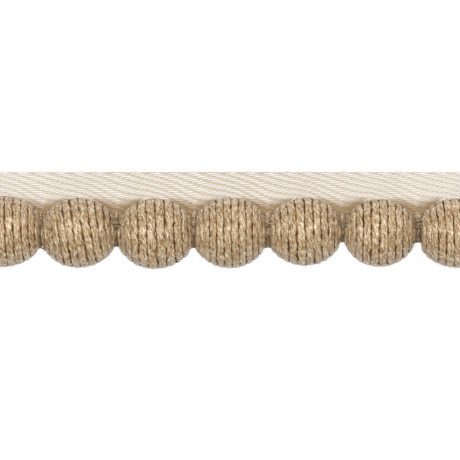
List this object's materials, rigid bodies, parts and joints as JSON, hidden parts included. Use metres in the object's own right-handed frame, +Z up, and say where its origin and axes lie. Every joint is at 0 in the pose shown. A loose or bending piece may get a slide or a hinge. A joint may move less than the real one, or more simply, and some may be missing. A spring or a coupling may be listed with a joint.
{
  "type": "jute ball trim",
  "caption": "Length of ball fringe: a row of jute-wound balls on a core cord along the edge of a cotton twill tape, by which it is sewn on.",
  "frame": {"origin": "middle of the part's box in plan, on the surface that it lies on", "axes": "+X along the trim, +Y towards the tape's free edge, +Z up out of the trim's face"},
  "size_m": [0.141, 0.0256, 0.0196],
  "materials": {
    "cotton_twill": "undyed cotton twill tape, matt, cream",
    "jute_strand": "natural jute strand, fibrous, with a slight sheen",
    "jute_core": "rough jute cord, matt, grey brown"
  },
  "bodies": {
    "root": {"twill_tape": "cotton_twill", "core_cord": "jute_core", "jute_ball_1": "jute_strand", "jute_ball_2": "jute_strand", "jute_ball_3": "jute_strand", "jute_ball_4": "jute_strand", "jute_ball_5": "jute_strand", "jute_ball_6": "jute_strand", "jute_ball_7": "jute_strand"}
  },
  "joints": []
}
